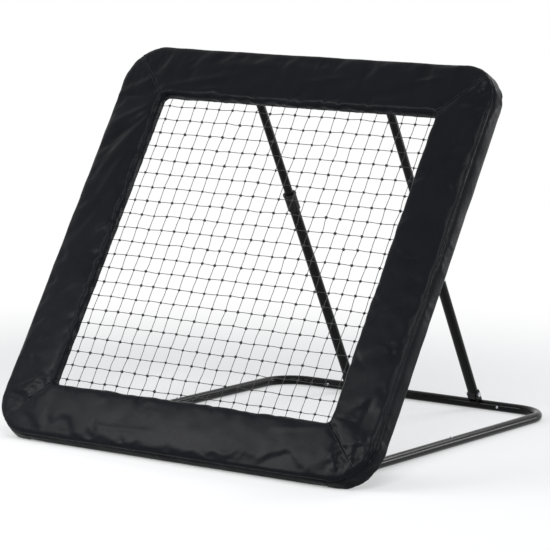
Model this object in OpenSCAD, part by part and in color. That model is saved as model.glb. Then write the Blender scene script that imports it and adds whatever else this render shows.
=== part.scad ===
// Football rebounder: a padded square net frame that leans back on two telescopic
// struts, which stand on a U-shaped tube base. All sizes are in millimetres.
// The frame is drawn lying flat (x across, y up the frame, z out of its front face)
// and is then leaned back. Each strut is drawn upright from its foot pivot.

/* [Frame] */
// Outside length of each side of the padded frame
frame_size = 1240; // [1000:10:1500]
// Angle between the frame and the ground
lean = 57.6; // [52:0.1:64]
// Outside diameter of the steel frame tube
frame_tube_d = 25; // [22:0.5:30]
// Wall of the frame tube
frame_tube_wall = 1.5; // [1:0.1:2.5]
// Distance from the padding's outer edge to the middle of the frame tube
tube_inset = 36; // [30:1:44]
// Bend radius of the frame tube's corners, at its middle line
frame_bend_r = 84; // [60:1:110]

/* [Padding] */
// Width of each padded side, across the front face
pad_w = 163; // [140:1:190]
// Thickness of the padding
pad_t = 62; // [56:1:70]
// Radius of the padding's outer corners
pad_corner_r = 120; // [90:1:135]
// Radius of the opening's corners
opening_corner_r = 12; // [8:1:20]
// Squareness of the padding's section, where 2 is an ellipse
pad_square = 6; // [5:0.5:8]
// Thickness of the padding behind the net at the opening's edge
back_edge_t = 4; // [4:0.5:12]
// Distance from the opening's edge over which the padding's back slopes out to its full thickness
back_slope_w = 55; // [50:5:80]
// Share by which the seams at the corners draw the padding in
seam_pinch = 0.08; // [0:0.01:0.12]
// Thickness of the cover's coated fabric
cover_t = 1.4; // [1:0.1:2]
// Depth of the flat that the padding's bottom edge has where it rests on the ground
rest_flat = 0.5; // [0.3:0.1:0.8]
// Thickness of the foam under the cover
foam_t = 44; // [40:1:46]
// Margin between the foam and the edges of the padding
foam_margin = 12; // [10:1:16]
// Height of the gap between the foam's two flaps, where the net and its loops run
foam_gap = 16; // [14:1:20]

/* [Net] */
// Number of mesh squares along each side of the net, odd so that the loops lie between bars
net_cells = 17; // [11:2:17]
// Thickness of the net's twine
twine_d = 2.2; // [1.6:0.1:2.8]
// Depth that the net's edge reaches into the padding
net_reach = 13; // [8:1:20]
// Diameter of the rope round the net's edge
rope_d = 6; // [5:0.5:8]
// Distance from the net's last row to the middle of the edge rope
rope_out = 12; // [10:1:16]
// Bend radius of the edge rope's corners
rope_bend_r = 20; // [15:1:40]
// Diameter of the elastic loops that tie the rope to the frame tube
loop_d = 3; // [2:0.5:3.5]

/* [Base] */
// Distance from the frame tube's bend in to the middle of each base side tube
side_tube_offset = 30; // [24:1:60]
// Distance from the padding's bottom edge back to the middle of the rear tube
base_depth = 1235; // [1100:5:1300]
// Outside diameter of the base tubes
base_tube_d = 28; // [25:0.5:32]
// Wall of the base tubes
base_tube_wall = 1.5; // [1:0.1:2.5]
// Bend radius of the rear corners, at the tube's middle line
base_bend_r = 100; // [70:1:140]
// Distance from the rear tube forward to the joint in each side tube
side_joint_run = 535; // [400:5:650]
// Distance from a side tube in to the joint in the rear tube
rear_joint_run = 140; // [130:1:180]

/* [Struts] */
// Number of mesh squares from the middle of the frame out to each strut, between two loops
strut_cells = 4; // [2:2:6]
// Outside diameter of the lower strut tube
lower_d = 30; // [29:0.5:32]
// Wall of the lower strut tube
lower_wall = 1.2; // [1:0.1:1.4]
// Outside diameter of the upper strut tube
upper_d = 25; // [23:0.5:25]
// Wall of the upper strut tube
upper_wall = 1.2; // [1:0.1:2]
// Distance from the foot pivot to the top end of the lower tube
lower_top = 672; // [620:5:720]
// Length of the upper tube that lies inside the lower tube
upper_hidden = 430; // [380:5:440]
// Length of the twist collar
collar_l = 58; // [50:1:70]
// Length of the collar that sits over the lower tube
collar_grip = 41; // [34:1:44]
// Diameter of the twist collar
collar_d = 37; // [36:0.5:42]
// Diameter of the lip at the collar's top
collar_lip_d = 40; // [39:0.5:45]
// Height of the lip at the collar's top
collar_lip_l = 6; // [4:1:8]
// Number of finger grooves round the collar
collar_grooves = 12; // [8:1:16]
// Height of the split collet inside the collar
collet_l = 13; // [10:1:15]
// Distance from the foot pivot to the stop screw
stop_height = 424; // [400:1:440]
// Length of the bush on the upper tube's inner end
bush_l = 20; // [14:1:26]

/* [Brackets] */
// Thickness of the bracket ears
ear_t = 3; // [2.5:0.5:4]
// Width of the bracket ears
ear_w = 24; // [20:1:24]
// Side clearance between an ear and the eye it holds
ear_side_gap = 0.5; // [0.3:0.1:1]
// Distance from the frame's top tube to the strut's top pivot
top_reach = 38; // [36:1:46]
// Distance from the rear tube to the strut's foot pivot
foot_reach = 36; // [35:1:44]
// Level distance from the frame's bottom tube back to the base hinge
hinge_reach = 33; // [32:1:40]

/* [Fittings] */
// Diameter of the bolts at the base hinge and the strut feet
pivot_bolt_d = 8; // [6:1:10]
// Diameter of the bolts at the struts' top ends
top_bolt_d = 6; // [5:1:6]
// Play of the struts' top eyes round their bolts, for the lean to be set
top_play = 3.2; // [3:0.1:3.6]
// Diameter of the bolts through the frame's joints
joint_bolt_d = 6; // [5:1:8]
// Height of the bolt heads and nuts, as a share of the bolt's diameter
head_ratio = 0.7; // [0.5:0.05:0.9]
// Width across the corners of heads and nuts, as a share of the bolt's diameter
head_w_ratio = 1.8; // [1.6:0.05:2]
// Length of the swaged spigots of the tube joints
spigot_l = 60; // [50:1:80]
// Radius of the eye at each strut foot
foot_eye_r = 16; // [15.5:0.5:17]
// Width of the eye at each strut foot and base hinge
foot_eye_w = 24; // [20:1:25]
// Radius of the eye at each strut's top
top_eye_r = 14; // [13:0.5:15]
// Width of the eye at each strut's top
top_eye_w = 20; // [18:1:20]
// Length of an eye's shank, from the middle of the eye
shank_l = 48; // [40:1:56]
// Diameter of the snap buttons
button_d = 8; // [6:0.5:9]
// Height that a snap button stands out of its tube
button_out = 2.5; // [2:0.1:3]
// Diameter of the stop screw's head
stop_head_d = 8; // [6:0.5:9]
// Depth of the stop screw's tip inside the lower tube
stop_tip = 0.95; // [0.8:0.05:1]

/* [Clearances] */
// Radial gap between a spigot, plug or collet and its tube
fit_gap = 0.1; // [0.08:0.01:0.2]
// Radial gap between a turning piece and its pin or tube
run_gap = 0.08; // [0.05:0.01:0.1]
// Gap round the foam's bore, the loops and the cuts in the covers
soft_gap = 0.3; // [0.3:0.1:0.6]

/* [Hidden] */

$fn = 48;
frame_tube_r = frame_tube_d / 2;
base_tube_r = base_tube_d / 2;
lower_r = lower_d / 2;
upper_r = upper_d / 2;
half_size = frame_size / 2;
tube_half = half_size - tube_inset;
opening_half = half_size - pad_w;
mesh_half = opening_half + net_reach;
mesh_pitch = 2 * mesh_half / net_cells;
strut_x = strut_cells * mesh_pitch;
side_x = tube_half - frame_bend_r - side_tube_offset;
rear_joint_x = side_x - rear_joint_run;
cut = 1;                       // how far a cutting shape runs past what it cuts
root = 0.01;                   // how far a bolt's shank starts inside its head
wide = 2 * frame_size;         // larger than any piece

// Section of the padding, as points round a squared ellipse whose back slopes in towards the
// opening. It runs from the lip in front of the net, round the outer edge, to the lip behind.
front_lip = 179.5;
back_lip = 168;
half_angles = [160, 143, 126, 92, 54, 37, 20];
section_angles = concat(
    [front_lip], half_angles, [0],
    [for (i = [len(half_angles) - 1:-1:0]) -half_angles[i]], [-back_lip]
);
function squared(v) = sign(v) * pow(abs(v), 2 / pad_square);
function back_half(reach, half_t) =
    back_edge_t + (half_t - back_edge_t) * min(1, reach / back_slope_w);
// One point: across runs from the opening's edge (0) to the outer edge, and fan is the angle
// between the section and a square one.
function section_point(angle, fan, width, half_t, shrink) =
    let (
        across = width / 2 + squared(cos(angle)) * (width / 2 - shrink),
        half = angle < 0 ? back_half(across * cos(fan), half_t) : half_t
    )
    [across, squared(sin(angle)) * (half - shrink)];

// Rings of one padded side: they fan out at the corners and stand square between.
fan_angles = [45, 34, 23, 11.5, 0];
run_half = opening_half - opening_corner_r;
corner_reach = pad_w + opening_corner_r;
arc_offset = corner_reach - pad_corner_r;
function fan_reach(a) =
    corner_reach * tan(a) <= arc_offset
        ? corner_reach / cos(a)
        : arc_offset * (cos(a) + sin(a))
            + sqrt(pow(pad_corner_r, 2) - pow(arc_offset, 2) * (1 - 2 * sin(a) * cos(a)));
rings = concat(
    [for (a = fan_angles) [-run_half, -a]],
    [for (i = [len(fan_angles) - 1:-1:0]) [run_half, fan_angles[i]]]
);
function half_t_at(a) = pad_t / 2 * (1 - seam_pinch * pow(abs(a) / 45, 3));
function ring_section(a) =
    let (width = fan_reach(abs(a)) - opening_corner_r, half_t = half_t_at(a))
    concat(
        [for (t = section_angles) section_point(t, a, width, half_t, 0)],
        [
            for (i = [len(section_angles) - 1:-1:0])
                section_point(section_angles[i], a, width, half_t, cover_t)
        ]
    );
function ring_points(ring) = [
    for (p = ring_section(ring[1]))
        let (reach = opening_corner_r + p[0])
        [ring[0] + reach * sin(ring[1]), pad_w + opening_corner_r - reach * cos(ring[1]), p[1]]
];

// Where the leaned frame stands: its lowest point is cut flat at the ground, and the
// whole object's footprint is centred on the origin.
straight_section = [for (p = ring_section(0)) [pad_w - p[0], p[1]]];
frame_z = -min([for (p = straight_section) p[0] * sin(lean) + p[1] * cos(lean)]) - rest_flat;
pad_front = min([for (p = straight_section) p[0] * cos(lean) - p[1] * sin(lean)]);
shift_y = -(pad_front + base_depth + base_tube_r) / 2;
function leaned(y, z) = [y * cos(lean) - z * sin(lean) + shift_y, y * sin(lean) + z * cos(lean) + frame_z];
rear_y = shift_y + base_depth;
bottom_tube = leaned(tube_inset, 0);
top_tube = leaned(frame_size - tube_inset, 0);

// Pivots, as [y, z].
rear_tube_mid = [rear_y, base_tube_r];
strut_line = top_tube - rear_tube_mid;
strut_dir = strut_line / norm(strut_line);
foot_pivot = rear_tube_mid + foot_reach * strut_dir;
top_pivot = top_tube - top_reach * strut_dir;
pin_distance = norm(top_pivot - foot_pivot);
strut_angle = atan2(strut_dir[1], strut_dir[0]);
hinge_pivot = [bottom_tube[0] + hinge_reach, base_tube_r];
hinge_vector = hinge_pivot - bottom_tube;
echo(hinge_pivot = hinge_pivot, foot_pivot = foot_pivot, top_pivot = top_pivot);
echo(strut_dir = strut_dir, pin_distance = pin_distance, bottom_tube = bottom_tube, frame_z = frame_z);

// Placing modules.
module lean_back() {
    translate([0, shift_y, frame_z]) rotate([lean, 0, 0]) children();
}
module frame_side(k) {
    translate([0, half_size, 0]) rotate([0, 0, -90 * k]) translate([0, -half_size, 0]) children();
}
module on_strut(side) {
    translate([side * strut_x, foot_pivot[0], foot_pivot[1]])
        rotate([strut_angle - 90, 0, 0]) children();
}
module on_side(side) {
    mirror([side < 0 ? 1 : 0, 0, 0]) children();
}
module both_sides() {
    for (side = [-1, 1]) on_side(side) children();
}

// A straight tube along +z.
module tube(outer_r, wall, length) {
    difference() {
        cylinder(r = outer_r, h = length);
        translate([0, 0, -cut]) cylinder(r = outer_r - wall, h = length + 2 * cut);
    }
}
// A solid or hollow bend of 90 degrees in the xy plane, from the +x axis to the +y axis.
module bend(middle_r, outer_r, inner_r) {
    rotate_extrude(angle = 90) translate([middle_r, 0]) difference() {
        circle(r = outer_r);
        if (inner_r > 0) circle(r = inner_r);
    }
}
// A hexagon-headed bolt along +x, with its head's underside at x = 0.
module bolt(d, length) {
    rotate([0, -90, 0]) cylinder(d = head_w_ratio * d, h = head_ratio * d, $fn = 6);
    rotate([0, 90, 0]) translate([0, 0, -root]) cylinder(d = d, h = length + root);
}
module nut(d, bore_gap) {
    rotate([0, 90, 0]) difference() {
        cylinder(d = head_w_ratio * d, h = head_ratio * d, $fn = 6);
        translate([0, 0, -cut]) cylinder(r = d / 2 + bore_gap, h = head_ratio * d + 2 * cut);
    }
}
// Two welded ears with a web between, on a tube along x. The pin lies at +y.
module ear_bracket(gap, reach, hole_r, tube_r) {
    difference() {
        union() {
            for (side = [-1, 1])
                translate([side * (gap / 2 + ear_t / 2) - ear_t / 2, 0, 0]) rotate([90, 0, 90])
                    linear_extrude(ear_t) {
                        translate([0, -ear_w / 2]) square([reach, ear_w]);
                        translate([reach, 0]) circle(d = ear_w);
                    }
            translate([-gap / 2 - cut / 2, 0, -ear_w / 2]) cube([gap + cut, tube_r + ear_t, ear_w]);
        }
        translate([-gap, 0, 0]) rotate([0, 90, 0]) cylinder(r = tube_r, h = 2 * gap);
        translate([-gap, reach, 0]) rotate([0, 90, 0]) cylinder(r = hole_r, h = 2 * gap);
    }
}
// An eye on a shank: the eye's hole runs along x, and the shank along +z. A neck no wider
// than the eye keeps the shank clear of the bracket's ears.
neck_l = ear_w / 2 + ear_side_gap + top_play;
neck_step = 0.4;               // how far a neck stays inside the eye's two faces
module eye(eye_r, width, shank_r, hole_r) {
    difference() {
        union() {
            translate([-width / 2, 0, 0]) rotate([0, 90, 0]) cylinder(r = eye_r, h = width);
            cylinder(r = width / 2 - neck_step, h = shank_l);
            translate([0, 0, neck_l]) cylinder(r = shank_r, h = shank_l - neck_l);
        }
        translate([-width, 0, 0]) rotate([0, 90, 0]) cylinder(r = hole_r, h = 2 * width);
    }
}

// ---- Frame tubes: four like corner pieces, each with one plain and one swaged end ----
spigot_r = frame_tube_r - frame_tube_wall - fit_gap;
module frame_corner() {
    straight = tube_half - frame_bend_r;
    bolt_hole_r = joint_bolt_d / 2 + fit_gap;
    color([0.16, 0.16, 0.17]) difference() {
        union() {
            translate([-straight, tube_inset, 0]) rotate([0, 90, 0])
                tube(frame_tube_r, frame_tube_wall, straight);
            translate([-straight, tube_inset + frame_bend_r, 0]) rotate([0, 0, 180])
                bend(frame_bend_r, frame_tube_r, frame_tube_r - frame_tube_wall);
            translate([-tube_half, tube_inset + frame_bend_r, 0]) rotate([-90, 0, 0])
                tube(frame_tube_r, frame_tube_wall, straight);
            translate([-tube_half, half_size - frame_tube_wall, 0]) rotate([-90, 0, 0]) difference() {
                union() {
                    cylinder(r = frame_tube_r - frame_tube_wall / 2, h = frame_tube_wall);
                    cylinder(r = spigot_r, h = spigot_l + frame_tube_wall);
                }
                translate([0, 0, -cut])
                    cylinder(r = spigot_r - frame_tube_wall, h = spigot_l + frame_tube_wall + 2 * cut);
            }
        }
        translate([-spigot_l / 2, tube_inset, -frame_tube_d])
            cylinder(r = bolt_hole_r, h = 2 * frame_tube_d);
        translate([-tube_half, half_size + spigot_l / 2, -frame_tube_d])
            cylinder(r = bolt_hole_r, h = 2 * frame_tube_d);
    }
}
module frame_tube_bottom_left() { lean_back() frame_side(0) frame_corner(); }
module frame_tube_top_left() { lean_back() frame_side(1) frame_corner(); }
module frame_tube_top_right() { lean_back() frame_side(2) frame_corner(); }
module frame_tube_bottom_right() { lean_back() frame_side(3) frame_corner(); }

// Bolts through the middle of each joint, head at the front and nut at the back.
joint_bolt_end = 1;            // length of a joint bolt's tail past its nut
module at_frame_joints() {
    for (k = [0:3]) frame_side(k) translate([-spigot_l / 2, tube_inset, 0]) children();
}
frame_bolt_grip = frame_tube_d + head_ratio * joint_bolt_d + joint_bolt_end;
module frame_bolts() {
    color([0.72, 0.72, 0.74]) lean_back() at_frame_joints()
        translate([0, 0, frame_tube_r]) rotate([0, 90, 0]) bolt(joint_bolt_d, frame_bolt_grip);
}
module frame_nuts() {
    color([0.72, 0.72, 0.74]) lean_back() at_frame_joints()
        translate([0, 0, -frame_tube_r]) rotate([0, 90, 0]) nut(joint_bolt_d, run_gap);
}

// ---- Brackets on the frame: they reach out through the backs of the covers ----
top_gap = top_eye_w + 2 * ear_side_gap;
foot_gap = foot_eye_w + 2 * ear_side_gap;
module at_top_tube(side) {
    translate([side * strut_x, top_tube[0], top_tube[1]])
        rotate([strut_angle + 180, 0, 0]) children();
}
module at_bottom_tube(side) {
    translate([side * side_x, bottom_tube[0], bottom_tube[1]])
        rotate([atan2(hinge_vector[1], hinge_vector[0]), 0, 0]) children();
}
module top_bracket(side) {
    color([0.1, 0.1, 0.1]) at_top_tube(side)
        ear_bracket(top_gap, top_reach, top_bolt_d / 2 + run_gap, frame_tube_r);
}
module hinge_bracket(side) {
    color([0.1, 0.1, 0.1]) at_bottom_tube(side)
        ear_bracket(foot_gap, norm(hinge_vector), pivot_bolt_d / 2 + run_gap, frame_tube_r);
}
module top_bracket_left() { top_bracket(-1); }
module top_bracket_right() { top_bracket(1); }
module hinge_bracket_left() { hinge_bracket(-1); }
module hinge_bracket_right() { hinge_bracket(1); }

// Pivot bolts have their heads outside and their nuts inside, left and right alike.
module pivot_bolt_at(x, pivot, gap, d) {
    for (side = [-1, 1])
        translate([side * (x + gap / 2 + ear_t), pivot[0], pivot[1]])
            rotate([0, 0, side > 0 ? 180 : 0]) bolt(d, gap + 2 * ear_t + head_ratio * d + bolt_end);
}
module pivot_nut_at(x, pivot, gap, d) {
    for (side = [-1, 1])
        translate([side * (x - gap / 2 - ear_t), pivot[0], pivot[1]])
            rotate([0, 0, side > 0 ? 180 : 0]) nut(d, run_gap);
}
module top_pivot_bolts() { color("silver") pivot_bolt_at(strut_x, top_pivot, top_gap, top_bolt_d); }
module top_pivot_nuts() { color("silver") pivot_nut_at(strut_x, top_pivot, top_gap, top_bolt_d); }
module hinge_bolts() { color("silver") pivot_bolt_at(side_x, hinge_pivot, foot_gap, pivot_bolt_d); }
module hinge_nuts() { color("silver") pivot_nut_at(side_x, hinge_pivot, foot_gap, pivot_bolt_d); }
module foot_bolts() { color("silver") pivot_bolt_at(strut_x, foot_pivot, foot_gap, pivot_bolt_d); }
module foot_nuts() { color("silver") pivot_nut_at(strut_x, foot_pivot, foot_gap, pivot_bolt_d); }

// ---- Elastic loops, edge rope and net ----
rope_half = mesh_half + rope_out;
loop_r = loop_d / 2;
loop_step = 30;                // angle between the corners of a loop's bends
loop_bend_r = (frame_tube_r + loop_r + soft_gap / 2) / cos(loop_step / 2);
rope_bear = (rope_d / 2 + loop_r + soft_gap / 2) / cos(loop_step / 2);
loop_run = tube_half - rope_half - loop_bend_r + rope_bear;
loop_places = [for (i = [-7:2:7]) i * mesh_pitch];
// The area inside the rope, which the net's bars fill up to.
module inside_rope() {
    reach = rope_half - rope_d / 2 - soft_gap / 2;
    corner_r = rope_bend_r - rope_d / 2 - soft_gap / 2;
    flat = 2 * (reach - corner_r);
    square([flat, 2 * reach], center = true);
    square([2 * reach, flat], center = true);
    for (x = [-1, 1], y = [-1, 1]) translate([x, y] * flat / 2) circle(r = corner_r);
}
module net() {
    bar_l = 2 * rope_half;
    color([0.1, 0.1, 0.1]) lean_back() translate([0, half_size, -twine_d / 2]) linear_extrude(twine_d)
        intersection() {
            inside_rope();
            for (i = [0:net_cells]) {
                translate([i * mesh_pitch - mesh_half, 0]) square([twine_d, bar_l], center = true);
                translate([0, i * mesh_pitch - mesh_half]) square([bar_l, twine_d], center = true);
            }
        }
}
module net_edge_rope() {
    straight = rope_half - rope_bend_r;
    color([0.12, 0.12, 0.12]) lean_back() for (k = [0:3]) frame_side(k) {
        translate([-straight, half_size - rope_half, 0]) rotate([0, 90, 0])
            cylinder(d = rope_d, h = 2 * straight);
        translate([-straight, half_size - straight, 0]) rotate([0, 0, 180]) bend(rope_bend_r, rope_d / 2, 0);
    }
}
module at_loops() {
    for (x = loop_places) translate([x, 0, 0]) children();
}
// One loop in the yz plane: round the tube at y = 0, and on to the rope that it holds.
loop_sides = 6;
loop_stops = concat(
    [for (a = [90:loop_step:270]) [0, a]],
    [for (a = [270:loop_step:450]) [loop_run, a]]
);
module elastic_loop() {
    count = len(loop_stops);
    points = [
        for (stop = loop_stops, i = [0:loop_sides - 1])
            let (t = 360 * i / loop_sides, r = loop_bend_r + loop_r * cos(t))
            [loop_r * sin(t), stop[0] + r * cos(stop[1]), r * sin(stop[1])]
    ];
    faces = [
        for (k = [0:count - 1], i = [0:loop_sides - 1])
            let (
                a = k * loop_sides + i, b = k * loop_sides + (i + 1) % loop_sides,
                c = (k + 1) % count * loop_sides + i,
                d = (k + 1) % count * loop_sides + (i + 1) % loop_sides
            )
            each [[a, b, d], [a, d, c]]
    ];
    polyhedron(points = points, faces = faces, convexity = 4);
}
module elastic_loops() {
    color([0.2, 0.2, 0.2]) lean_back() for (k = [0:3]) frame_side(k)
        at_loops() translate([0, tube_inset, 0]) elastic_loop();
}

// ---- Foam: one C-shaped length round the tube on each side, mitred at the corners ----
edge_fn = 8;                   // the foam's long edges are bevelled, and its corners cut
corner_fn = 12;                // in three straight cuts
pocket_side = 1;               // gap between the foam and a bracket's ears or a bend
slope_gap = 4.5;               // height between the cover's sloping back and the foam
groove_half = loop_bend_r + loop_r + soft_gap;
bend_x = -tube_half + frame_bend_r;
module foam_section() {
    round_r = foam_t / 4;
    slope_x = pad_w - back_slope_w;
    difference() {
        translate([foam_margin + round_r, -foam_t / 2 + round_r])
            bevelled(pad_w - 2 * foam_margin - 2 * round_r, foam_t - 2 * round_r, round_r, edge_fn);
        polygon([
            [slope_x, slope_gap - pad_t / 2], [pad_w, slope_gap - back_edge_t],
            [pad_w, -pad_t], [slope_x, -pad_t]
        ]);
    }
}
// A rectangle with cut corners, its straight part's corner at the origin.
module bevelled(length, height, r, sides) {
    translate([-r, 0]) square([length + 2 * r, height]);
    translate([0, -r]) square([length, height + 2 * r]);
    for (x = [0, length], y = [0, height]) translate([x, y]) circle(r = r, $fn = sides);
}
module side_plan() {
    intersection() {
        polygon([
            [-half_size, 0], [half_size, 0], [opening_half - pad_w / 2, 1.5 * pad_w],
            [-opening_half + pad_w / 2, 1.5 * pad_w]
        ]);
        translate([-half_size + pad_corner_r, pad_corner_r]) bevelled(
            frame_size - 2 * pad_corner_r, frame_size, pad_corner_r - foam_margin, corner_fn);
    }
}
// Plan of the channel for a bend of the tube.
module bend_channel() {
    bore_r = frame_tube_r + pocket_side;
    intersection() {
        difference() {
            circle(r = frame_bend_r + bore_r);
            circle(r = frame_bend_r - bore_r);
        }
        translate([-pad_w, -pad_w]) square(pad_w);
    }
}
module foam_side(bracket_places, bracket_gap) {
    bend_half = frame_tube_r + pocket_side;
    color([0.35, 0.36, 0.38]) difference() {
        intersection() {
            translate([-half_size, 0, 0]) rotate([90, 0, 90]) linear_extrude(frame_size) foam_section();
            translate([0, 0, -foam_t]) linear_extrude(2 * foam_t) side_plan();
        }
        // Bore for the tube, and square channels for its bends.
        translate([bend_x - cut, tube_inset, 0]) rotate([0, 90, 0])
            cylinder(r = frame_tube_r + soft_gap, h = -2 * bend_x + 2 * cut);
        both_sides() translate([bend_x, tube_inset + frame_bend_r, -bend_half])
            linear_extrude(2 * bend_half) bend_channel();
        // Gap between the two flaps for the net, its rope and the loops.
        translate([-half_size, tube_inset, -foam_gap / 2]) cube([frame_size, pad_w, foam_gap]);
        // Grooves for the loops, and pockets for the joint bolt and the brackets.
        at_loops() translate([-loop_d, tube_inset - groove_half, -groove_half])
            cube([2 * loop_d, pad_w, 2 * groove_half]);
        translate([-spigot_l / 2, tube_inset, -pad_t])
            cylinder(d = 2 * head_w_ratio * joint_bolt_d, h = 2 * pad_t);
        for (x = bracket_places)
            translate([x - bracket_gap / 2 - ear_t - pocket_side, -cut, -pad_t])
                cube([bracket_gap + 2 * (ear_t + pocket_side), tube_inset + 1.25 * ear_w, pad_t]);
    }
}
module foam_bottom() { lean_back() frame_side(0) foam_side([-side_x, side_x], foot_gap); }
module foam_left() { lean_back() frame_side(1) foam_side([], 0); }
module foam_top() { lean_back() frame_side(2) foam_side([-strut_x, strut_x], top_gap); }
module foam_right() { lean_back() frame_side(3) foam_side([], 0); }

// ---- Covers: crowned fabric sleeves, slit along the opening for the net ----
ring_size = 2 * len(section_angles);
module cover_sleeve() {
    points = [for (ring = rings) each ring_points(ring)];
    last = (len(rings) - 1) * ring_size;
    walls = [
        for (r = [0:len(rings) - 2], i = [0:ring_size - 1])
            let (a = r * ring_size + i, b = r * ring_size + (i + 1) % ring_size)
            each [[a, b + ring_size, b], [a, a + ring_size, b + ring_size]]
    ];
    near_cap = [for (i = [0:ring_size - 1]) i];
    far_cap = [for (i = [ring_size - 1:-1:0]) last + i];
    polyhedron(points = points, faces = concat(walls, [near_cap, far_cap]), convexity = 6);
}
module cover_side(slot_places, slot_w, slot_low, slot_high) {
    color([0.13, 0.13, 0.14]) difference() {
        cover_sleeve();
        for (x = slot_places)
            translate([x - slot_w / 2, slot_low, -pad_t])
                cube([slot_w, slot_high - slot_low, pad_t - foam_gap]);
    }
}
slot_side = 2;                 // gap between a cover's cut edge and what passes through it
bolt_end = 2;                  // length of a pivot bolt's tail past its nut
top_slot_w = top_gap + 2 * (ear_t + head_ratio * top_bolt_d + bolt_end + slot_side);
hinge_slot_w = foot_gap + 2 * (ear_t + head_ratio * pivot_bolt_d + bolt_end + slot_side);
// The two covers with cuts in them are taken as one form each, at their own size.
as_drawn = [0, 0, 0];
module cover_bottom() {
    resize(as_drawn) difference() {
        lean_back()
            cover_side([-side_x, side_x], hinge_slot_w, tube_inset - ear_w, tube_inset + ear_w);
        translate([-wide / 2, -wide / 2, -wide]) cube(wide);
    }
}
module cover_left() { lean_back() frame_side(1) cover_side([], 0, 0, 0); }
module cover_top() {
    lean_back() frame_side(2) resize(as_drawn)
        cover_side([-strut_x, strut_x], top_slot_w,
            tube_inset - ear_w / 2, tube_inset + 2 * ear_w);
}
module cover_right() { lean_back() frame_side(3) cover_side([], 0, 0, 0); }

// ---- Base: two straight side tubes, two bent corners and the rear tube ----
base_spigot_r = base_tube_r - base_tube_wall - fit_gap;
joint_y = rear_y - side_joint_run;
button_hole_r = button_d / 2 + run_gap;
eye_relief = 1;                // gap between an eye and the end of its tube
eye_setback = foot_eye_r + eye_relief;
// Holes for the snap buttons, drilled through one wall.
module side_button_hole() {
    translate([side_x, joint_y - spigot_l / 2, base_tube_r]) cylinder(r = button_hole_r, h = base_tube_d);
}
module rear_button_hole() {
    translate([rear_joint_x - spigot_l / 2, rear_y, base_tube_r])
        rotate([90, 0, 0]) cylinder(r = button_hole_r, h = base_tube_d);
}
module base_side(side) {
    start_y = hinge_pivot[0] + eye_setback;
    color([0.07, 0.07, 0.07]) on_side(side) difference() {
        translate([side_x, start_y, base_tube_r]) rotate([-90, 0, 0])
            tube(base_tube_r, base_tube_wall, joint_y - start_y);
        side_button_hole();
    }
}
module base_corner(side) {
    straight = side_joint_run - base_bend_r;
    color([0.07, 0.07, 0.07]) on_side(side) difference() {
        union() {
            translate([side_x, joint_y - spigot_l, base_tube_r]) rotate([-90, 0, 0])
                tube(base_spigot_r, base_tube_wall, spigot_l + cut);
            translate([side_x, rear_y - base_bend_r, base_tube_r]) rotate([90, 0, 0]) difference() {
                cylinder(r = base_tube_r, h = straight);
                translate([0, 0, -cut])
                    cylinder(r = base_tube_r - base_tube_wall, h = straight - base_tube_wall + cut);
                cylinder(r = base_spigot_r - base_tube_wall, h = straight + cut);
            }
            translate([side_x - base_bend_r, rear_y - base_bend_r, base_tube_r])
                bend(base_bend_r, base_tube_r, base_tube_r - base_tube_wall);
            translate([side_x - base_bend_r, rear_y, base_tube_r]) rotate([0, -90, 0])
                tube(base_tube_r, base_tube_wall, side_x - base_bend_r - rear_joint_x + spigot_l);
        }
        side_button_hole();
        rear_button_hole();
    }
}
module rear_tube() {
    body_half = rear_joint_x - spigot_l;
    color([0.07, 0.07, 0.07]) difference() {
        translate([0, rear_y, base_tube_r]) rotate([0, 90, 0]) difference() {
            union() {
                translate([0, 0, -body_half]) cylinder(r = base_tube_r, h = 2 * body_half);
                translate([0, 0, -rear_joint_x]) cylinder(r = base_spigot_r, h = 2 * rear_joint_x);
            }
            translate([0, 0, -2 * rear_joint_x])
                cylinder(r = base_spigot_r - base_tube_wall, h = 4 * rear_joint_x);
        }
        both_sides() rear_button_hole();
    }
}
module base_side_left() { base_side(-1); }
module base_side_right() { base_side(1); }
module base_corner_left() { base_corner(-1); }
module base_corner_right() { base_corner(1); }
module hinge_eyes() {
    color([0.1, 0.1, 0.1]) both_sides()
        translate([side_x, hinge_pivot[0], hinge_pivot[1]]) rotate([-90, 0, 0])
        eye(base_tube_r, foot_eye_w, base_tube_r - base_tube_wall - fit_gap, pivot_bolt_d / 2 + run_gap);
}
module rear_bracket(side) {
    color([0.07, 0.07, 0.07]) translate([side * strut_x, rear_y, base_tube_r])
        rotate([strut_angle, 0, 0])
        ear_bracket(foot_gap, foot_reach, pivot_bolt_d / 2 + run_gap, base_tube_r);
}
module rear_bracket_left() { rear_bracket(-1); }
module rear_bracket_right() { rear_bracket(1); }

// ---- Snap buttons: each rides on the tip of a leaf spring inside its spigot ----
leaf_w = 8;
leaf_t = 0.8;
leaf_l = 30;
button_edge = 1;               // height and width of the bevel round a button's top
bore_r = base_spigot_r - base_tube_wall;
leaf_top = sqrt(pow(bore_r, 2) - pow(leaf_w / 2, 2)) - fit_gap;
// Drawn with the button pointing along +z and the tube along x.
module snap_button() {
    button_top = base_tube_r + button_out;
    color([0.75, 0.75, 0.77]) {
        translate([-leaf_w / 2, -leaf_w / 2, leaf_top - leaf_t]) cube([leaf_w / 2 + leaf_l, leaf_w, leaf_t]);
        translate([0, 0, leaf_top - leaf_t / 2])
            cylinder(d = button_d, h = button_top - button_edge - leaf_top + leaf_t / 2);
        translate([0, 0, button_top - button_edge])
            cylinder(d1 = button_d, d2 = button_d - 2 * button_edge, h = button_edge);
    }
}
module clip_spring() {
    foot_z = -leaf_top;
    translate([-leaf_w / 2, -leaf_w / 2, foot_z]) cube([leaf_w + leaf_l, leaf_w, leaf_t]);
    translate([leaf_l + fit_gap, -leaf_w / 2, foot_z])
        cube([leaf_t, leaf_w, 2 * leaf_top]);
}
module at_side_button() {
    translate([side_x, joint_y - spigot_l / 2, base_tube_r]) rotate([0, 0, 90]) children();
}
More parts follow.
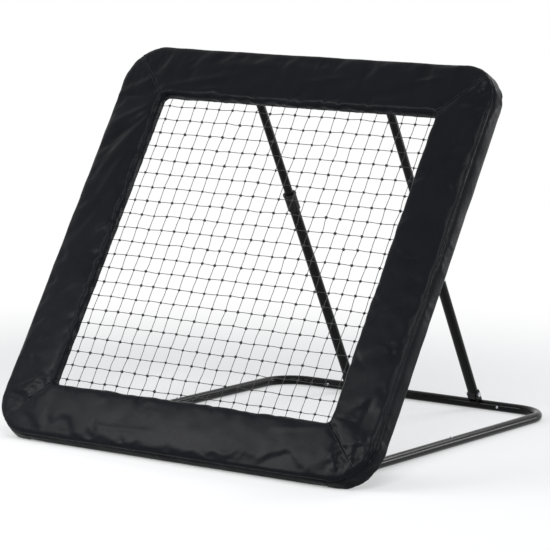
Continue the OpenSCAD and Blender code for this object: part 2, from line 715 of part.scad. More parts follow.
module at_rear_button() {
    translate([rear_joint_x - spigot_l / 2, rear_y, base_tube_r])
        rotate([90, 0, 0]) rotate([0, 0, 180]) children();
}
module clip_springs() {
    color([0.6, 0.6, 0.62]) both_sides() {
        at_side_button() clip_spring();
        at_rear_button() clip_spring();
    }
}
module snap_button_side_left() { on_side(-1) at_side_button() snap_button(); }
module snap_button_side_right() { at_side_button() snap_button(); }
module snap_button_rear_left() { on_side(-1) at_rear_button() snap_button(); }
module snap_button_rear_right() { at_rear_button() snap_button(); }

// ---- Struts: a thin tube that slides in a thicker one, held by a twist collar ----
lower_bore_r = lower_r - lower_wall;
collar_start = lower_top - collar_grip;
module strut_lower(side) {
    color([0.06, 0.06, 0.06]) on_strut(side) difference() {
        translate([0, 0, eye_setback]) tube(lower_r, lower_wall, lower_top - eye_setback);
        translate([0, 0, stop_height]) rotate([0, side * 90, 0])
            cylinder(r = stop_shank_r + run_gap, h = lower_d);
    }
}
module strut_foot_eye(side) {
    color([0.1, 0.1, 0.1]) on_strut(side)
        eye(foot_eye_r, foot_eye_w, lower_bore_r - fit_gap, pivot_bolt_d / 2 + run_gap);
}
module collet(side) {
    split = 2;
    color([0.85, 0.85, 0.83]) on_strut(side) translate([0, 0, lower_top]) difference() {
        cylinder(r = lower_r, h = collet_l);
        translate([0, 0, -cut]) cylinder(r = upper_r + fit_gap, h = collet_l + 2 * cut);
        translate([-split / 2, 0, -cut]) cube([split, lower_d, collet_l + 2 * cut]);
    }
}
stop_shank_r = 2;
stop_root = 0.5;               // how far the screw's shank reaches into its head
module stop_screw(side) {
    head_l = 2.4;
    slot_t = 1;
    color([0.8, 0.8, 0.82]) on_strut(side) translate([0, 0, stop_height]) rotate([0, side * 90, 0]) {
        translate([0, 0, lower_bore_r - stop_tip])
            cylinder(r = stop_shank_r, h = lower_wall + stop_tip + stop_root);
        translate([0, 0, lower_r]) difference() {
            cylinder(d1 = stop_head_d, d2 = 0.7 * stop_head_d, h = head_l);
            translate([-stop_head_d, -slot_t / 2, head_l / 2]) cube([2 * stop_head_d, slot_t, head_l]);
        }
    }
}
module twist_collar(side) {
    chamfer = 2;
    collar_r = collar_d / 2;
    lip_r = collar_lip_d / 2;
    groove_r = 1;
    inner_l = collar_grip + collet_l + fit_gap;
    color([0.08, 0.08, 0.08]) on_strut(side) translate([0, 0, collar_start]) difference() {
        rotate_extrude() polygon([
            [lower_r + run_gap, 0], [collar_r - chamfer, 0], [collar_r, chamfer],
            [collar_r, collar_l - collar_lip_l], [lip_r, collar_l - collar_lip_l],
            [lip_r, collar_l - chamfer], [lip_r - chamfer, collar_l],
            [upper_r + fit_gap, collar_l], [upper_r + fit_gap, inner_l], [lower_r + run_gap, inner_l]
        ]);
        for (i = [0:collar_grooves - 1])
            rotate([0, 0, i * 360 / collar_grooves])
                translate([collar_r + groove_r / 3, 0, 3 * chamfer])
                cylinder(r = groove_r, h = collar_l - collar_lip_l - 5 * chamfer);
    }
}
upper_start = lower_top - upper_hidden;
module strut_upper(side) {
    color([0.05, 0.05, 0.05]) on_strut(side) translate([0, 0, upper_start])
        tube(upper_r, upper_wall, pin_distance - top_eye_r - eye_relief - upper_start);
}
module strut_bush(side) {
    floor_t = 3;
    color([0.85, 0.85, 0.83]) on_strut(side) translate([0, 0, upper_start - floor_t]) difference() {
        cylinder(r = lower_bore_r - fit_gap, h = bush_l);
        translate([0, 0, floor_t]) cylinder(r = upper_r + fit_gap, h = bush_l);
        translate([0, 0, -cut]) cylinder(r = upper_r - 2 * upper_wall, h = bush_l);
    }
}
module strut_top_eye(side) {
    color([0.1, 0.1, 0.1]) on_strut(side) translate([0, 0, pin_distance]) rotate([180, 0, 0])
        eye(top_eye_r, top_eye_w, upper_r - upper_wall - fit_gap, top_bolt_d / 2 + top_play);
}
module strut_lower_left() { strut_lower(-1); }
module strut_lower_right() { strut_lower(1); }
module strut_foot_eye_left() { strut_foot_eye(-1); }
module strut_foot_eye_right() { strut_foot_eye(1); }
module collet_left() { collet(-1); }
module collet_right() { collet(1); }
module stop_screw_left() { stop_screw(-1); }
module stop_screw_right() { stop_screw(1); }
module twist_collar_left() { twist_collar(-1); }
module twist_collar_right() { twist_collar(1); }
module strut_upper_left() { strut_upper(-1); }
module strut_upper_right() { strut_upper(1); }
module strut_bush_left() { strut_bush(-1); }
module strut_bush_right() { strut_bush(1); }
module strut_top_eye_left() { strut_top_eye(-1); }
module strut_top_eye_right() { strut_top_eye(1); }

frame_tube_bottom_left();
frame_tube_top_left();
frame_tube_top_right();
frame_tube_bottom_right();
foam_bottom();
foam_left();
foam_top();
foam_right();
cover_bottom();
cover_left();
cover_top();
cover_right();
net();
net_edge_rope();
elastic_loops();
frame_bolts();
frame_nuts();
top_bracket_left();
top_bracket_right();
top_pivot_bolts();
top_pivot_nuts();
hinge_bracket_left();
hinge_bracket_right();
hinge_bolts();
hinge_nuts();
base_side_left();
base_side_right();
base_corner_left();
base_corner_right();
rear_tube();
hinge_eyes();
rear_bracket_left();
rear_bracket_right();
foot_bolts();
foot_nuts();
clip_springs();
snap_button_side_left();
snap_button_side_right();
snap_button_rear_left();
snap_button_rear_right();
strut_lower_left();
strut_lower_right();
strut_foot_eye_left();
strut_foot_eye_right();
collet_left();
collet_right();
stop_screw_left();
stop_screw_right();
twist_collar_left();
twist_collar_right();
strut_upper_left();
strut_upper_right();
strut_bush_left();
strut_bush_right();
strut_top_eye_left();
strut_top_eye_right();
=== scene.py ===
import math

import bmesh
import bpy
import numpy as np
from mathutils import Matrix, Vector, noise
from mathutils.bvhtree import BVHTree


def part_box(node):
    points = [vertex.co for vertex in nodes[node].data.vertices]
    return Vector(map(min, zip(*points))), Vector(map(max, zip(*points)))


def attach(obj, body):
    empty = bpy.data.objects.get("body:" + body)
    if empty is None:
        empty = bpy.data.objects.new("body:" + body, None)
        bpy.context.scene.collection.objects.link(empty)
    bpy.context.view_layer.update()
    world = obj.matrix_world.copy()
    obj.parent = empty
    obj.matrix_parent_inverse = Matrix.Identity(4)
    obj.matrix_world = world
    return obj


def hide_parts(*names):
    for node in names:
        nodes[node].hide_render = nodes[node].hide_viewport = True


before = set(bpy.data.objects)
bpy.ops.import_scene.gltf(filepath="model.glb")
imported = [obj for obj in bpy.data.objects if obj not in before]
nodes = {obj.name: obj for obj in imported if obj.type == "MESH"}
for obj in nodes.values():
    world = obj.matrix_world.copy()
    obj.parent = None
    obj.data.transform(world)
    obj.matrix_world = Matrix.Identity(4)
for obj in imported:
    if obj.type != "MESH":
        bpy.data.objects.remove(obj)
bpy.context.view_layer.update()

# ---------------------------------------------------------------------------------------
# Camera: a long lens about eight metres away, off the frame's front right corner and a
# little higher than its top edge.
# ---------------------------------------------------------------------------------------
CAMERA_PLACE = (4.4983, -6.7659, 1.5727)
CAMERA_TURN = math.radians(34.161)     # to the left of straight back
CAMERA_DIP = math.radians(7.912)       # below the horizon
CAMERA_ROLL = math.radians(1.07)
FOCAL_PIXELS = 2898.0                  # focal length on an image 550 pixels wide
IMAGE_PIXELS = 550.0
SENSOR = 36.0
FARTHEST = 60.0

ahead = Vector((-math.sin(CAMERA_TURN) * math.cos(CAMERA_DIP),
                math.cos(CAMERA_TURN) * math.cos(CAMERA_DIP), -math.sin(CAMERA_DIP)))
level_right = ahead.cross(Vector((0, 0, 1))).normalized()
level_up = level_right.cross(ahead)
right = math.cos(CAMERA_ROLL) * level_right + math.sin(CAMERA_ROLL) * level_up
up = math.cos(CAMERA_ROLL) * level_up - math.sin(CAMERA_ROLL) * level_right
camera_data = bpy.data.cameras.new("camera")
camera_data.sensor_width = SENSOR
camera_data.lens = FOCAL_PIXELS / IMAGE_PIXELS * SENSOR
camera_data.clip_end = FARTHEST
camera = bpy.data.objects.new("camera", camera_data)
bpy.context.scene.collection.objects.link(camera)
camera.matrix_world = Matrix.Translation(CAMERA_PLACE) @ Matrix(
    (right, up, -ahead)).transposed().to_4x4()
bpy.context.scene.camera = camera


# ---------------------------------------------------------------------------------------
# Tubes and brackets: welded steel, blasted and powder coated gloss black, then plugged and
# bolted together. The coat is thick, with a faint orange peel and a little dust on top.
# ---------------------------------------------------------------------------------------
def linear(code):
    """A colour written as sRGB hex, as linear RGBA."""
    parts = [int(code[i:i + 2], 16) / 255 for i in (1, 3, 5)]
    return [c / 12.92 if c <= 0.04045 else ((c + 0.055) / 1.055) ** 2.4 for c in parts] + [1.0]


def add(tree, kind, inputs=None, **settings):
    """Adds one node to a shader or geometry tree, with its settings and its inputs or links."""
    made = tree.nodes.new(kind)
    for name, value in settings.items():
        setattr(made, name, value)
    for key, value in (inputs or {}).items():
        if isinstance(value, bpy.types.NodeSocket):
            tree.links.new(value, made.inputs[key])
        else:
            made.inputs[key].default_value = value
    return made


def new_material(name):
    """A material with a bare Principled BSDF; returns the material, its tree and the shader."""
    made = bpy.data.materials.new(name)
    made.use_nodes = True
    tree = made.node_tree
    tree.nodes.clear()
    shader = add(tree, "ShaderNodeBsdfPrincipled")
    add(tree, "ShaderNodeOutputMaterial", {"Surface": shader.outputs["BSDF"]})
    return made, tree, shader


def paint(names, made):
    """Gives CAD nodes a material."""
    for name in names:
        nodes[name].data.materials.clear()
        nodes[name].data.materials.append(made)


def dress(tree, shader, colour, roughness, relief):
    """Gives a shader its colour, its roughness as a number or a socket, and its relief."""
    tree.links.new(colour, shader.inputs["Base Color"])
    tree.links.new(relief.outputs["Normal"], shader.inputs["Normal"])
    if isinstance(roughness, bpy.types.NodeSocket):
        tree.links.new(roughness, shader.inputs["Roughness"])
    else:
        shader.inputs["Roughness"].default_value = roughness


COAT_BLACK, COAT_DUSTY = "#050506", "#0c0c0e"
COAT_CLEAN, COAT_DULLED = 0.12, 0.26   # roughness where it is clean, and under dust
COAT_SPECULAR = 0.13
PEEL_SIZE, PEEL_HEIGHT = 0.0035, 0.0004
DUST_SIZE = 0.12
DUST_FROM, DUST_TO = 0.3, 0.7          # where in the noise the dust starts and is full
powder_coat, tree, shader = new_material("powder_coated_steel")
place = add(tree, "ShaderNodeTexCoord").outputs["Object"]
dust = add(tree, "ShaderNodeTexNoise", {"Vector": place, "Scale": 1 / DUST_SIZE, "Detail": 5.0})
tint = add(tree, "ShaderNodeMix", {"Factor": dust.outputs["Fac"], 6: linear(COAT_BLACK),
                                   7: linear(COAT_DUSTY)}, data_type="RGBA")
gloss = add(tree, "ShaderNodeMapRange", {
    "Value": dust.outputs["Fac"], "From Min": DUST_FROM, "From Max": DUST_TO,
    "To Min": COAT_CLEAN, "To Max": COAT_DULLED})
peel = add(tree, "ShaderNodeTexNoise", {"Vector": place, "Scale": 1 / PEEL_SIZE, "Detail": 2.0})
relief = add(tree, "ShaderNodeBump", {"Height": peel.outputs["Fac"], "Strength": 0.12,
                                      "Distance": PEEL_HEIGHT})
dress(tree, shader, tint.outputs[2], gloss.outputs["Result"], relief)
shader.inputs["Specular IOR Level"].default_value = COAT_SPECULAR
COATED = ("base_", "rear_", "strut_lower", "strut_upper", "top_bracket", "hinge_bracket",
          "frame_tube")
paint([n for n in nodes if n.startswith(COATED)], powder_coat)

# ---------------------------------------------------------------------------------------
# Twist collars and tube ends: injection moulded nylon, black, with the fine grain that a
# spark-eroded mould leaves. The hidden collets and bushes are the same nylon, undyed.
# ---------------------------------------------------------------------------------------
GRAIN_SIZE, GRAIN_HEIGHT = 0.0012, 0.0003
RUB_SIZE = 1 / 45                      # 22 mm
NYLON_SPECULAR = 0.2
BLACK_NYLON, NATURAL_NYLON = ("#0a0a0b", "#161618"), ("#e2dfd3", "#d3cfc0")


def moulded(name, colour, worn, roughness):
    """Moulded plastic with a fine grain and slightly rubbed patches."""
    made, tree, shader = new_material(name)
    place = add(tree, "ShaderNodeTexCoord").outputs["Object"]
    rub = add(tree, "ShaderNodeTexNoise", {"Vector": place, "Scale": 1 / RUB_SIZE, "Detail": 4.0})
    tint = add(tree, "ShaderNodeMix", {"Factor": rub.outputs["Fac"], 6: linear(colour),
                                       7: linear(worn)}, data_type="RGBA")
    grain = add(tree, "ShaderNodeTexVoronoi", {"Vector": place, "Scale": 1 / GRAIN_SIZE})
    relief = add(tree, "ShaderNodeBump", {"Height": grain.outputs["Distance"], "Strength": 0.25,
                                          "Distance": GRAIN_HEIGHT})
    dress(tree, shader, tint.outputs[2], roughness, relief)
    shader.inputs["Specular IOR Level"].default_value = NYLON_SPECULAR
    return made


paint([n for n in nodes if n.startswith("twist_collar") or "eye" in n],
      moulded("moulded_black_nylon", *BLACK_NYLON, roughness=0.46))
paint([n for n in nodes if n.startswith(("collet", "strut_bush"))],
      moulded("moulded_natural_nylon", *NATURAL_NYLON, roughness=0.38))

# ---------------------------------------------------------------------------------------
# Bolts, nuts, screws and snap buttons: steel with bright zinc plate, which is a little
# blotchy and bluish, and dulls in fine scratches.
# ---------------------------------------------------------------------------------------
ZINC_BRIGHT, ZINC_DULL = "#c9ccd1", "#9ea3aa"
BLOOM_SIZE = 1 / 220                   # 4.5 mm
SCRATCH_SIZE, SCRATCH_HEIGHT = 1 / 1500, 0.0002
zinc, tree, shader = new_material("zinc_plated_steel")
place = add(tree, "ShaderNodeTexCoord").outputs["Object"]
bloom = add(tree, "ShaderNodeTexNoise", {"Vector": place, "Scale": 1 / BLOOM_SIZE, "Detail": 5.0})
tint = add(tree, "ShaderNodeMix", {"Factor": bloom.outputs["Fac"], 6: linear(ZINC_BRIGHT),
                                   7: linear(ZINC_DULL)}, data_type="RGBA")
gloss = add(tree, "ShaderNodeMapRange", {"Value": bloom.outputs["Fac"], "To Min": 0.22,
                                         "To Max": 0.45})
scratch = add(tree, "ShaderNodeTexNoise", {"Vector": place, "Scale": 1 / SCRATCH_SIZE,
                                           "Detail": 2.0})
relief = add(tree, "ShaderNodeBump", {"Height": scratch.outputs["Fac"], "Strength": 0.15,
                                      "Distance": SCRATCH_HEIGHT})
dress(tree, shader, tint.outputs[2], gloss.outputs["Result"], relief)
shader.inputs["Metallic"].default_value = 1.0
paint([n for n in nodes if n.endswith(("bolts", "nuts"))
       or n.startswith(("snap", "stop", "clip"))], zinc)

# ---------------------------------------------------------------------------------------
# Foam: grey closed-cell polyethylene sleeves, hidden under the covers. Its cut faces show
# small open bubbles.
# ---------------------------------------------------------------------------------------
FOAM_DARK, FOAM_PALE = "#5d6064", "#85888c"
BUBBLE_SIZE, BUBBLE_HEIGHT = 1 / 550, 0.0008
foam, tree, shader = new_material("closed_cell_foam")
place = add(tree, "ShaderNodeTexCoord").outputs["Object"]
bubbles = add(tree, "ShaderNodeTexVoronoi", {"Vector": place, "Scale": 1 / BUBBLE_SIZE})
tint = add(tree, "ShaderNodeMix", {"Factor": bubbles.outputs["Distance"], 6: linear(FOAM_DARK),
                                   7: linear(FOAM_PALE)}, data_type="RGBA")
relief = add(tree, "ShaderNodeBump", {"Height": bubbles.outputs["Distance"], "Strength": 0.6,
                                      "Distance": BUBBLE_HEIGHT})
dress(tree, shader, tint.outputs[2], 0.9, relief)
paint([n for n in nodes if n.startswith("foam")], foam)

# ---------------------------------------------------------------------------------------
# Net: twine of twisted black polyethylene, knotted into squares of about 44 mm, with a rope
# round its edge that elastic loops tie to the tubes. It lies halfway through the frame.
# ---------------------------------------------------------------------------------------
LEAN = math.radians(57.6)
FRAME_SIZE = 1.240
LOWER_EDGE = (0.0, -0.615027, 0.009704)    # middle of the frame's lower edge
FRAME_PLACE = (Matrix.Translation(LOWER_EDGE) @ Matrix.Rotation(LEAN, 4, "X")
               @ Matrix.Translation((0.0, FRAME_SIZE / 2, 0.0)))
OPENING_HALF = 0.457
TWINE, TWINE_SIDES, TWINE_STEPS = 0.0019, 5, 108   # diameter, sides and lengths per row
MESH_PITCH = 0.0435
NET_ROWS = 21
NET_TUCK = 0.014                       # how far the net's ends reach into the padding
SWAY, SWAY_SIZE = 0.0075, 1 / 19       # how far the twine wanders, over patches of 53 mm
KNOT = 0.0068                          # a knot's size before it is drawn larger or smaller
KNOT_LEAST, KNOT_MOST = 0.8, 1.15
LUMP_SIZE, LUMP_HEIGHT, LUMP_MIDDLE = 1 / 420, 0.0042, 0.4
TURN_SEED, SIZE_SEED = 7, 3
FULL_TURN = 6.3
TWINE_DARK, TWINE_PALE = "#101012", "#26262a"
BAND_TURN = 0.314                      # a wave texture of this scale has one band a metre
STRAND = BAND_TURN / 300               # 1 mm


def baked(name, tree, made, settings, body, flat=None):
    """Runs a Geometry Nodes tree on an empty mesh, or on flat, and returns a plain mesh object."""
    start = flat or bpy.data.meshes.new(name)
    maker = bpy.data.objects.new(name + "_maker", start)
    bpy.context.scene.collection.objects.link(maker)
    modifier = maker.modifiers.new("tree", "NODES")
    modifier.node_group = tree
    for socket in tree.interface.items_tree:
        if socket.item_type == "SOCKET" and socket.in_out == "INPUT" and socket.name in settings:
            modifier[socket.identifier] = settings[socket.name]
    bpy.context.view_layer.update()
    graph = bpy.context.evaluated_depsgraph_get()
    mesh = bpy.data.meshes.new_from_object(maker.evaluated_get(graph))
    bpy.data.objects.remove(maker)
    mesh.name = name
    mesh.transform(FRAME_PLACE)
    mesh.materials.clear()
    mesh.materials.append(made)
    piece = bpy.data.objects.new(name, mesh)
    bpy.context.scene.collection.objects.link(piece)
    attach(piece, body)
    return piece


def new_tree(name, sizes):
    """A Geometry Nodes tree with named number inputs; returns it and its input node."""
    tree = bpy.data.node_groups.new(name, "GeometryNodeTree")
    tree.interface.new_socket("Geometry", in_out="INPUT", socket_type="NodeSocketGeometry")
    for key, kind in sizes:
        tree.interface.new_socket(key, in_out="INPUT", socket_type=kind)
    tree.interface.new_socket("Geometry", in_out="OUTPUT", socket_type="NodeSocketGeometry")
    return tree, tree.nodes.new("NodeGroupInput")


twine_mat, tree, shader = new_material("twisted_polyethylene_twine")
place = add(tree, "ShaderNodeTexCoord").outputs["Object"]
strands = add(tree, "ShaderNodeTexWave", {"Vector": place, "Scale": BAND_TURN / STRAND,
                                        "Distortion": 1.5},
              bands_direction="DIAGONAL")
tint = add(tree, "ShaderNodeMix", {"Factor": strands.outputs["Fac"], 6: linear(TWINE_DARK),
                                   7: linear(TWINE_PALE)}, data_type="RGBA")
relief = add(tree, "ShaderNodeBump", {"Height": strands.outputs["Fac"], "Strength": 0.4,
                                      "Distance": 0.0003})
dress(tree, shader, tint.outputs[2], 0.6, relief)

tree, given = new_tree("knotted_net", (("Pitch", "NodeSocketFloat"), ("Rows", "NodeSocketInt"),
                                       ("Reach", "NodeSocketFloat"), ("Twine", "NodeSocketFloat"),
                                       ("Knot", "NodeSocketFloat"), ("Sway", "NodeSocketFloat")))


def swayed(tree, geometry, given):
    """Moves points by a smooth wander that depends on their place alone, so that the rows of
    twine and the knots where they cross stay together."""
    spot = add(tree, "GeometryNodeInputPosition").outputs[0]
    wander = add(tree, "ShaderNodeTexNoise", {"Vector": spot, "Scale": 1 / SWAY_SIZE,
                                              "Detail": 1.0})
    centred = add(tree, "ShaderNodeVectorMath", {0: wander.outputs["Color"],
                                                 1: (0.5, 0.5, 0.5)}, operation="SUBTRACT")
    sized = add(tree, "ShaderNodeVectorMath", {0: centred.outputs[0],
                                               "Scale": given.outputs["Sway"]}, operation="SCALE")
    return add(tree, "GeometryNodeSetPosition", {"Geometry": geometry, "Offset": sized.outputs[0]})


span = add(tree, "ShaderNodeMath", {0: given.outputs["Rows"], 1: 1.0}, operation="SUBTRACT")
half = add(tree, "ShaderNodeMath", {0: span.outputs[0], 1: given.outputs["Pitch"]},
           operation="MULTIPLY")
start = add(tree, "ShaderNodeMath", {0: half.outputs[0], 1: -0.5}, operation="MULTIPLY")
low = add(tree, "ShaderNodeMath", {0: given.outputs["Reach"], 1: -1.0}, operation="MULTIPLY")
families = []
for along, across in ((0, 1), (1, 0)):
    row_start, row_end, step, first = (add(tree, "ShaderNodeCombineXYZ") for _ in range(4))
    tree.links.new(low.outputs[0], row_start.inputs[along])
    tree.links.new(given.outputs["Reach"], row_end.inputs[along])
    tree.links.new(start.outputs[0], first.inputs[across])
    tree.links.new(given.outputs["Pitch"], step.inputs[across])
    row = add(tree, "GeometryNodeCurvePrimitiveLine", {"Start": row_start.outputs[0],
                                                       "End": row_end.outputs[0]})
    row = add(tree, "GeometryNodeResampleCurve", {"Curve": row.outputs[0], "Count": TWINE_STEPS})
    rows = add(tree, "GeometryNodeMeshLine", {"Count": given.outputs["Rows"],
                                              "Start Location": first.outputs[0],
                                              "Offset": step.outputs[0]})
    laid = add(tree, "GeometryNodeInstanceOnPoints", {"Points": rows.outputs[0],
                                                      "Instance": row.outputs[0]})
    laid = add(tree, "GeometryNodeRealizeInstances", {"Geometry": laid.outputs[0]})
    families.append(laid.outputs[0])
joined = add(tree, "GeometryNodeJoinGeometry")
for rows in families:
    tree.links.new(rows, joined.inputs[0])
wavy = swayed(tree, joined.outputs[0], given)
ring = add(tree, "GeometryNodeCurvePrimitiveCircle", {"Resolution": TWINE_SIDES,
                                                      "Radius": given.outputs["Twine"]})
twines = add(tree, "GeometryNodeCurveToMesh", {"Curve": wavy.outputs[0],
                                               "Profile Curve": ring.outputs[0],
                                               "Fill Caps": True})
grid = add(tree, "GeometryNodeMeshGrid", {"Size X": half.outputs[0], "Size Y": half.outputs[0],
                                          "Vertices X": given.outputs["Rows"],
                                          "Vertices Y": given.outputs["Rows"]})
crossings = swayed(tree, grid.outputs[0], given)
ball = add(tree, "GeometryNodeMeshIcoSphere", {"Radius": given.outputs["Knot"],
                                               "Subdivisions": 2})
lump = add(tree, "ShaderNodeTexNoise", {"Scale": 1 / LUMP_SIZE, "Detail": 0.0})
outward = add(tree, "GeometryNodeInputNormal")
push = add(tree, "ShaderNodeMath", {0: lump.outputs["Fac"], 1: LUMP_MIDDLE}, operation="SUBTRACT")
pushed = add(tree, "ShaderNodeMath", {0: push.outputs[0], 1: LUMP_HEIGHT}, operation="MULTIPLY")
bulge = add(tree, "ShaderNodeVectorMath", {0: outward.outputs[0], "Scale": pushed.outputs[0]},
            operation="SCALE")
ball = add(tree, "GeometryNodeSetPosition", {"Geometry": ball.outputs[0],
                                             "Offset": bulge.outputs[0]})
turn = add(tree, "FunctionNodeRandomValue", {"Seed": TURN_SEED}, data_type="FLOAT_VECTOR")
turn.inputs[1].default_value = (FULL_TURN, FULL_TURN, FULL_TURN)
size = add(tree, "FunctionNodeRandomValue", {2: KNOT_LEAST, 3: KNOT_MOST, "Seed": SIZE_SEED})
knots = add(tree, "GeometryNodeInstanceOnPoints", {
    "Points": crossings.outputs[0], "Instance": ball.outputs[0],
    "Rotation": turn.outputs[0], "Scale": size.outputs[1]})
knots = add(tree, "GeometryNodeRealizeInstances", {"Geometry": knots.outputs[0]})
joined = add(tree, "GeometryNodeJoinGeometry")
tree.links.new(knots.outputs[0], joined.inputs[0])
tree.links.new(twines.outputs[0], joined.inputs[0])
coloured = add(tree, "GeometryNodeSetMaterial", {"Geometry": joined.outputs[0],
                                                 "Material": twine_mat})
add(tree, "NodeGroupOutput", {0: coloured.outputs[0]})
knotted_net = baked("knotted_net", tree, twine_mat,
                    {"Pitch": MESH_PITCH, "Rows": NET_ROWS, "Reach": OPENING_HALF + NET_TUCK,
                     "Twine": TWINE / 2, "Knot": KNOT / 2, "Sway": SWAY}, "frame")
for polygon in knotted_net.data.polygons:
    polygon.use_smooth = True
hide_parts("net")
paint(["net_edge_rope", "elastic_loops"], twine_mat)

# ---------------------------------------------------------------------------------------
# Padded cover: one ring of coated polyester oxford cloth, sewn from four sides with mitred
# seams, and closed by a seam round its outer side, a little in front of the middle. Foam
# fills it, and the cloth is a little loose, so it puckers along the seams.
# ---------------------------------------------------------------------------------------
PAD_WIDTH = 0.163
PAD_THICK = 0.062
INNER_RADIUS = 0.012
OUTER_RADIUS = 0.120
# Rounding of each side's front outer edge, and how much lower that edge lies than the face.
FRONT_SHAPES = ((0.010, 0.0), (0.024, 0.003), (0.026, 0.0035), (0.026, 0.0045))
EDGE_BACK, EDGE_INNER = 0.007, 0.016   # roundings of the back's outer edge and at the opening
# Thickness behind the net at the opening, and the run of the slope that leads to it.
BACK_EDGE, BACK_SLOPE = 0.0045, 0.055
BACK_BULGE, BACK_FLARE = 0.002, 0.006  # how far the back's outer edge stands back and out
CROWN = 0.0012                         # how far the faces bow out between those edges
SEAM_PINCH = 0.05                      # share of the thickness that a mitre loses
START_SHRINK = 0.0012                  # the cloth starts this far inside its full size
SEAM_AT = 0.014                        # height of the outer side's seam above the middle
SIDE_SEAM_DEPTH, SIDE_SEAM_HALF = 0.0045, 0.004
MITRE_DEPTH, MITRE_FLAT = 0.0026, 0.4  # a mitre's dip, and the share of it in the frame's plane
SEAM_CREASE = 0.7
CELL = 0.0085                          # size of the mesh before it is made finer
FAN_RUN, BESIDE_MITRE = 0.17, 0.978    # cloth that fans out to a mitre; the section beside it
SIDES = ("cover_bottom", "cover_right", "cover_top", "cover_left")
CORNER = math.radians(45)
run_half = OPENING_HALF - INNER_RADIUS
reach_in = PAD_WIDTH + INNER_RADIUS
arc_offset = reach_in - OUTER_RADIUS


def fan_reach(angle):
    """Distance from the inner corner's middle to the pad's outer edge, at an angle off square."""
    if reach_in * math.tan(angle) <= arc_offset:
        return reach_in / math.cos(angle)
    cross = math.sin(angle) * math.cos(angle)
    return arc_offset * (math.cos(angle) + math.sin(angle)) + math.sqrt(
        OUTER_RADIUS ** 2 - arc_offset ** 2 * (1 - 2 * cross))


SEAM_CLEAR = 0.0015                    # least space between the seam and the rounded edge
SIDE_STEPS = (0.0, 0.12, 0.3, 0.65)    # shares of the outer side, close together at its seam
EDGE_STEPS, FACE_STEPS, INNER_STEPS = 4, 16, 3
ROUND = 2 * (len(SIDE_STEPS) + 2 * EDGE_STEPS + FACE_STEPS + INNER_STEPS)


def half_section(width, half, rounding, drop, flare, seam):
    """Points from the seam on the outer side round the outer edge, over the face and into the
    opening. The outer edge lies lower than the face by drop and wider than the seam by flare."""
    high, wide = half - drop, width + flare
    deep = min(rounding, high - seam - SEAM_CLEAR)
    turns = [math.pi / 2 * i / EDGE_STEPS for i in range(EDGE_STEPS)]
    run = [(width + flare * share, seam + (high - deep - seam) * share) for share in SIDE_STEPS]
    run += [(wide - rounding * (1 - math.cos(t)), high - deep * (1 - math.sin(t))) for t in turns]
    for i in range(FACE_STEPS):
        share = i / FACE_STEPS
        run.append((wide - rounding - (wide - rounding - EDGE_INNER) * share,
                    high + drop * share + CROWN * 4 * share * (1 - share)))
    run += [(EDGE_INNER * (1 - math.sin(t)), half - EDGE_INNER * (1 - math.cos(t))) for t in turns]
    return run + [(0.0, (half - EDGE_INNER) * (1 - i / INNER_STEPS)) for i in range(INNER_STEPS)]


def section(width, half, fan, rounding, drop):
    """Points round the sleeve, from the seam on its outer side over the front, through the
    opening and back. Its back slopes in towards the opening. fan is the angle between this
    section and a square one."""
    front = half_section(width, half, rounding, drop * (1 - fan ** 2), 0.0, SEAM_AT)
    back = []
    run = half_section(width, half, EDGE_BACK, -BACK_BULGE, BACK_FLARE, -SEAM_AT)
    for across, out in reversed(run[1:]):
        thick = BACK_EDGE + (half - BACK_EDGE) * min(1.0, across * math.cos(fan) / BACK_SLOPE)
        back.append((across, -out * thick / half))
    return np.array(front + [(0.0, 0.0)] + back)


fan_count = round(FAN_RUN / CELL)
run_count = round(2 * run_half / CELL)
fan_angles = [CORNER * (1 - i / fan_count) for i in range(fan_count)]
fan_angles.insert(1, CORNER * BESIDE_MITRE)
stations = [(-run_half, -a) for a in fan_angles]
stations += [(-run_half + 2 * run_half * i / run_count, 0.0) for i in range(run_count + 1)]
stations += [(run_half, a) for a in reversed(fan_angles[1:])]
PER_SIDE = len(stations)
section_cache = {}
points = []
for side in range(4):
    for x, angle in stations:
        own, beside = FRONT_SHAPES[side], FRONT_SHAPES[(side + (1 if angle > 0 else -1)) % 4]
        blend = abs(angle) / CORNER / 2
        shape = [mine + (theirs - mine) * blend for mine, theirs in zip(own, beside)]
        key = (round(abs(angle), 5), *shape)
        if key not in section_cache:
            width = fan_reach(abs(angle)) - INNER_RADIUS - 2 * START_SHRINK
            pinch = SEAM_PINCH * (abs(angle) / CORNER) ** 3
            half_thick = PAD_THICK / 2 * (1 - pinch) - START_SHRINK
            section_cache[key] = section(width, half_thick, angle, *shape)
        for across, out in section_cache[key]:
            reach = INNER_RADIUS + START_SHRINK + across
            u = x + reach * math.sin(angle)
            v = PAD_WIDTH + INNER_RADIUS - reach * math.cos(angle) - FRAME_SIZE / 2
            for _ in range(side):
                u, v = -v, u
            points.append((u, v, out))
points = np.array(points)
RINGS = 4 * PER_SIDE
grid_index = np.arange(RINGS * ROUND).reshape(RINGS, ROUND)
